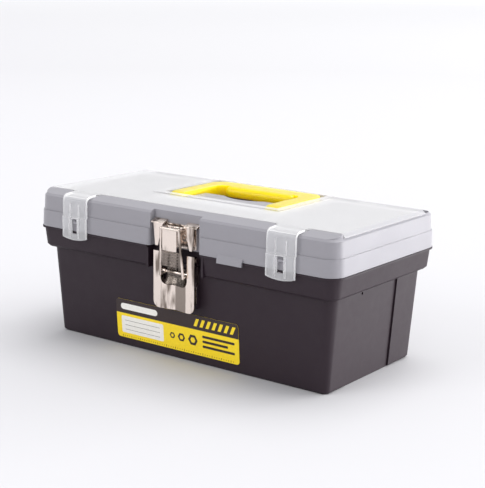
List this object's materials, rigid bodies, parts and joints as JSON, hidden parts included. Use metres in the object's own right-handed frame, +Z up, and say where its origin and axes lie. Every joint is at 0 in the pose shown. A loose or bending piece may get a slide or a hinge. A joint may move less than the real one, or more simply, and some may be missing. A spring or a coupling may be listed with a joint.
{
  "type": "plastic tool box",
  "caption": "Long plastic tool box with a deep tapered bin, hinged organiser lid under a clear clip cover, folding handle, lift-out tray and metal draw latch.",
  "frame": {"origin": "centre of the bin's flat foot, on the surface it stands on", "axes": "+X along the length to the right end, +Y to the hinge side at the back, +Z up; the latch faces -Y"},
  "size_m": [0.321, 0.1753, 0.1332],
  "materials": {
    "charcoal_plastic": "fine matt grain",
    "grey_plastic": "satin, fine grain",
    "clear_plastic": "clear, slightly milky",
    "yellow_plastic": "smooth satin",
    "tray_plastic": "satin, fine grain",
    "label_film": "printed film, satin",
    "plated_steel": "bright nickel plating",
    "pin_steel": "plain drawn steel"
  },
  "bodies": {
    "bin": {"bin": "charcoal_plastic", "front_label": "label_film", "latch_base": "plated_steel", "latch_base_rivets": "plated_steel", "lever_pivots": "plated_steel", "lid_hinge_pin_left": "pin_steel", "lid_hinge_pin_right": "pin_steel"},
    "lid": {"lid": "grey_plastic", "latch_keeper": "plated_steel", "keeper_rivets": "plated_steel", "handle_pin_left": "pin_steel", "handle_pin_right": "pin_steel", "cover_hinge_pin_left": "pin_steel", "cover_hinge_pin_right": "pin_steel"},
    "cover": {"organiser_cover": "clear_plastic"},
    "handle": {"carry_handle": "yellow_plastic"},
    "tray": {"tool_tray": "tray_plastic"},
    "lever": {"latch_lever": "plated_steel", "bail_pin": "plated_steel"},
    "bail": {"latch_bail": "plated_steel"}
  },
  "joints": [
    {"name": "lid_hinge", "type": "hinge", "parent": "bin", "child": "lid", "pos_m": [0, 0.0855, 0.0985], "axis": [-1, 0, 0], "range_deg": [0, 100]},
    {"name": "cover_hinge", "type": "hinge", "parent": "lid", "child": "cover", "pos_m": [0, 0.0672, 0.1283], "axis": [-1, 0, 0], "range_deg": [0, 100]},
    {"name": "handle_pivot", "type": "hinge", "parent": "lid", "child": "handle", "pos_m": [0, -0.0085, 0.1247], "axis": [1, 0, 0], "range_deg": [0, 92]},
    {"name": "tray_lift", "type": "slide", "parent": "bin", "child": "tray", "axis": [0, 0, 1], "range_m": [0, 0.014]},
    {"name": "lever_pivot", "type": "hinge", "parent": "bin", "child": "lever", "pos_m": [0, -0.0768, 0.0925], "axis": [-1, 0, 0], "range_deg": [0, 90]},
    {"name": "bail_pivot", "type": "hinge", "parent": "lever", "child": "bail", "pos_m": [0, -0.0766, 0.079], "axis": [-1, 0, 0], "range_deg": [-90, 0]}
  ],
  "couplings": [
    {"joint": "bail_pivot", "follows": "lever_pivot", "ratio": -1}
  ]
}
